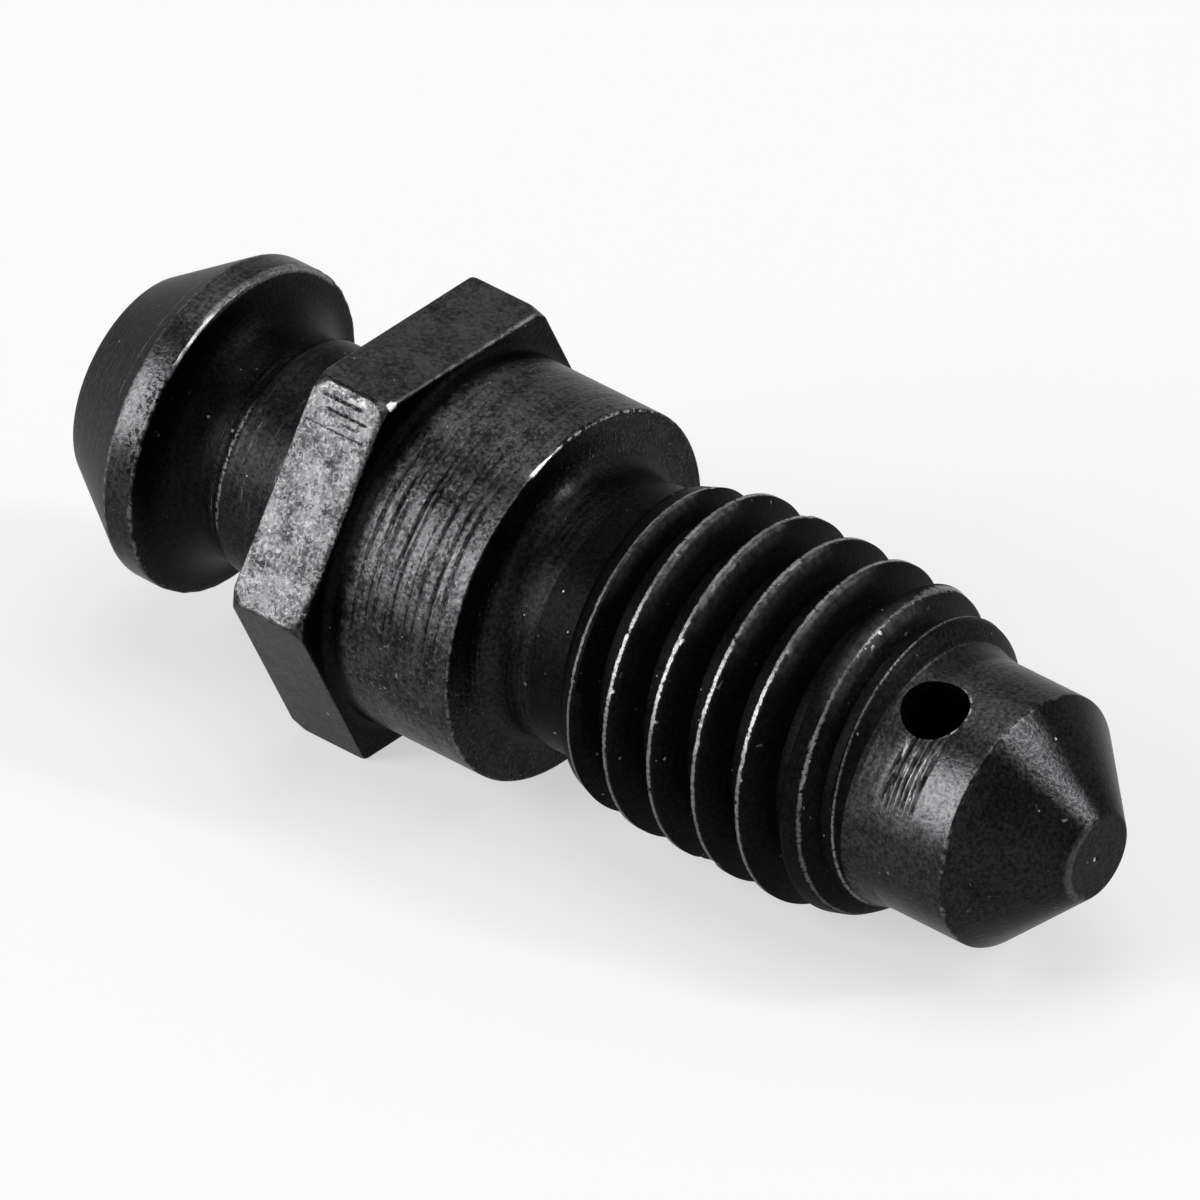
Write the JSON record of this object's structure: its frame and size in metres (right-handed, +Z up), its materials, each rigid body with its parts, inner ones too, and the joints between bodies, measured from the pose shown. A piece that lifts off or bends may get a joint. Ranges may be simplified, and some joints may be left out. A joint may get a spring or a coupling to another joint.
{
  "type": "bleed screw",
  "caption": "Black steel bleed screw: hose nipple, hexagon, collar, coarse thread and conical seat, drilled along its axis to a cross hole near the tip.",
  "frame": {"origin": "centre of the footprint, on the surface that the screw lies on", "axes": "+Z up; the screw lies along X with its cone seat towards +X, tipped down by about 4 degrees; one hexagon flat faces up"},
  "size_m": [0.0272, 0.0108, 0.0095],
  "materials": {
    "steel": "black oxide over turned steel, satin, with bright worn edges"
  },
  "bodies": {
    "root": {"bleed_screw": "steel"}
  },
  "joints": []
}
